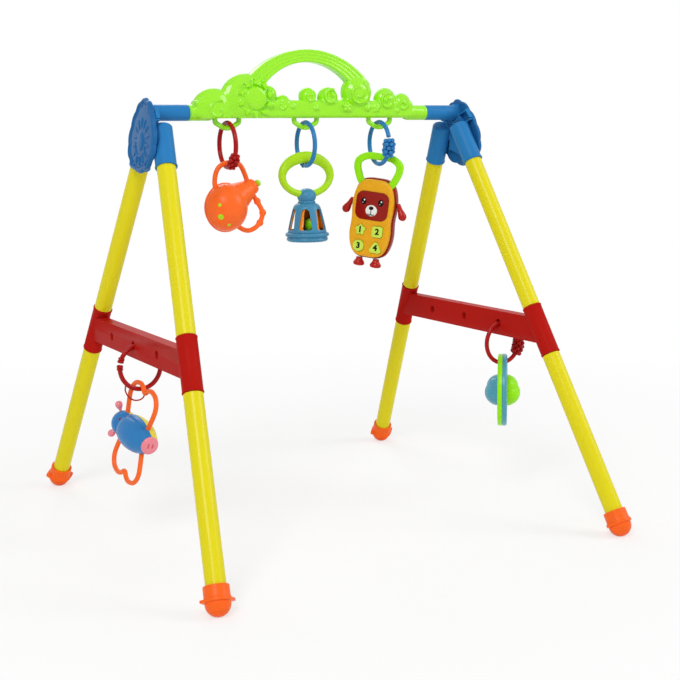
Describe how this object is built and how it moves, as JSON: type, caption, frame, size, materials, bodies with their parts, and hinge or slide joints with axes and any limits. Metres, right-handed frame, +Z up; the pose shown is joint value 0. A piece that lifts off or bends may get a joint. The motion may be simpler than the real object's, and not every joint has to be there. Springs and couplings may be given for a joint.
{
  "type": "baby play gym",
  "caption": "Splayed A-frame baby play gym with a cloud and rainbow bar, links, rattles, a bell, a toy phone with keys and a spinning petal ball.",
  "frame": {"origin": "on the floor, midway between the four feet and under the middle of the bar", "axes": "+X along the bar to the right, +Y to the rear, +Z up; the front, which the phone faces, is -Y"},
  "size_m": [0.557, 0.5998, 0.5825],
  "materials": {
    "yellow_tube": "smooth moulded plastic",
    "red_connector": "smooth moulded plastic",
    "blue_hub": "smooth moulded plastic",
    "orange_foot": "smooth moulded plastic",
    "cloud_green": "smooth moulded plastic",
    "link_red": "smooth moulded plastic",
    "link_blue": "smooth moulded plastic",
    "rattle_orange": "smooth moulded plastic",
    "lime": "smooth moulded plastic",
    "teal": "smooth moulded plastic",
    "amber_shell": "smooth moulded plastic",
    "maroon_shell": "smooth moulded plastic",
    "red_limb": "smooth moulded plastic",
    "toy_blue": "smooth moulded plastic",
    "toy_yellow": "smooth moulded plastic",
    "pink": "smooth moulded plastic"
  },
  "bodies": {
    "frame": {"cloud_bar_back": "cloud_green", "cloud_bar_front": "cloud_green", "left_crossbar": "red_connector", "left_front_foot": "orange_foot", "left_front_lower_tube": "yellow_tube", "left_front_upper_tube": "yellow_tube", "left_hub": "blue_hub", "left_hub_cover": "blue_hub", "left_rear_foot": "orange_foot", "left_rear_lower_tube": "yellow_tube", "left_rear_upper_tube": "yellow_tube", "right_crossbar": "red_connector", "right_front_foot": "orange_foot", "right_front_lower_tube": "yellow_tube", "right_front_upper_tube": "yellow_tube", "right_hub": "blue_hub", "right_hub_cover": "blue_hub", "right_rear_foot": "orange_foot", "right_rear_lower_tube": "yellow_tube", "right_rear_upper_tube": "yellow_tube"},
    "rattle_link": {"rattle_link": "link_red"},
    "bell_link": {"bell_link": "link_blue"},
    "phone_link": {"phone_link": "link_blue"},
    "piglet_link": {"piglet_link": "link_red"},
    "petal_link": {"petal_link": "link_red"},
    "rattle": {"rattle_front_shell": "rattle_orange", "rattle_back_shell": "rattle_orange", "rattle_handles": "rattle_orange", "rattle_nose": "lime"},
    "bell": {"bell_handle": "lime", "bell_cage": "teal", "bell_base": "teal", "bell_liner": "rattle_orange"},
    "bell_ball": {"bell_ball": "lime"},
    "phone": {"phone_back_shell": "maroon_shell", "phone_battery_cover": "maroon_shell", "phone_front_shell": "amber_shell", "phone_handle": "lime", "phone_left_arm": "red_limb", "phone_left_foot": "red_limb", "phone_right_arm": "red_limb", "phone_right_foot": "red_limb", "phone_screen": "maroon_shell"},
    "phone_key_1": {"phone_key_1": "lime"},
    "phone_key_2": {"phone_key_2": "lime"},
    "phone_key_3": {"phone_key_3": "lime"},
    "phone_key_4": {"phone_key_4": "lime"},
    "piglet": {"piglet_blue_shell": "toy_blue", "piglet_handle": "rattle_orange", "piglet_left_ear": "pink", "piglet_right_ear": "pink", "piglet_snout": "pink", "piglet_yellow_shell": "toy_yellow"},
    "petal_ring": {"ring_green": "lime", "ring_blue": "teal", "petal_axle": "lime"},
    "petal_ball": {"petal_teal_half": "teal", "petal_lime_half": "lime"}
  },
  "joints": [
    {"name": "rattle_link_swing", "type": "hinge", "parent": "frame", "child": "rattle_link", "pos_m": [-0.114, 0, 0.4882], "axis": [1, 0, 0], "range_deg": [-25, 25]},
    {"name": "bell_link_swing", "type": "hinge", "parent": "frame", "child": "bell_link", "pos_m": [-0.009, 0, 0.4882], "axis": [1, 0, 0], "range_deg": [-25, 25]},
    {"name": "phone_link_swing", "type": "hinge", "parent": "frame", "child": "phone_link", "pos_m": [0.096, 0, 0.4882], "axis": [1, 0, 0], "range_deg": [-25, 25]},
    {"name": "piglet_link_swing", "type": "hinge", "parent": "frame", "child": "piglet_link", "pos_m": [-0.23365, 0, 0.2352], "axis": [1, 0, 0], "range_deg": [-25, 25]},
    {"name": "petal_link_swing", "type": "hinge", "parent": "frame", "child": "petal_link", "pos_m": [0.23365, -0.08, 0.2352], "axis": [1, 0, 0], "range_deg": [-25, 25]},
    {"name": "rattle_swing", "type": "hinge", "parent": "rattle_link", "child": "rattle", "pos_m": [-0.114, 0, 0.4414], "axis": [0, 1, 0], "range_deg": [-10, 10]},
    {"name": "bell_swing", "type": "hinge", "parent": "bell_link", "child": "bell", "pos_m": [-0.009, 0, 0.4414], "axis": [0, 1, 0], "range_deg": [-10, 10]},
    {"name": "phone_swing", "type": "hinge", "parent": "phone_link", "child": "phone", "pos_m": [0.096, 0, 0.4414], "axis": [0, 1, 0], "range_deg": [-12, 12]},
    {"name": "piglet_swing", "type": "hinge", "parent": "piglet_link", "child": "piglet", "pos_m": [-0.23365, 0, 0.1822], "axis": [1, 0, 0], "range_deg": [-15, 15]},
    {"name": "petal_ring_swing", "type": "hinge", "parent": "petal_link", "child": "petal_ring", "pos_m": [0.23365, -0.08, 0.1822], "axis": [1, 0, 0], "range_deg": [-15, 15]},
    {"name": "petal_ball_spin", "type": "hinge", "parent": "petal_ring", "child": "petal_ball", "pos_m": [0.23365, -0.08, 0.1458], "axis": [0.5878, 0.809, 0], "continuous": true},
    {"name": "bell_ball_lift", "type": "slide", "parent": "bell", "child": "bell_ball", "axis": [0, 0, 1], "range_m": [0, 0.008]},
    {"name": "phone_key_1_press", "type": "slide", "parent": "phone", "child": "phone_key_1", "axis": [0.7431, 0.6691, 0], "range_m": [0, 0.0015], "stiffness_N_per_m": 300},
    {"name": "phone_key_2_press", "type": "slide", "parent": "phone", "child": "phone_key_2", "axis": [0.7431, 0.6691, 0], "range_m": [0, 0.0015], "stiffness_N_per_m": 300},
    {"name": "phone_key_3_press", "type": "slide", "parent": "phone", "child": "phone_key_3", "axis": [0.7431, 0.6691, 0], "range_m": [0, 0.0015], "stiffness_N_per_m": 300},
    {"name": "phone_key_4_press", "type": "slide", "parent": "phone", "child": "phone_key_4", "axis": [0.7431, 0.6691, 0], "range_m": [0, 0.0015], "stiffness_N_per_m": 300}
  ]
}
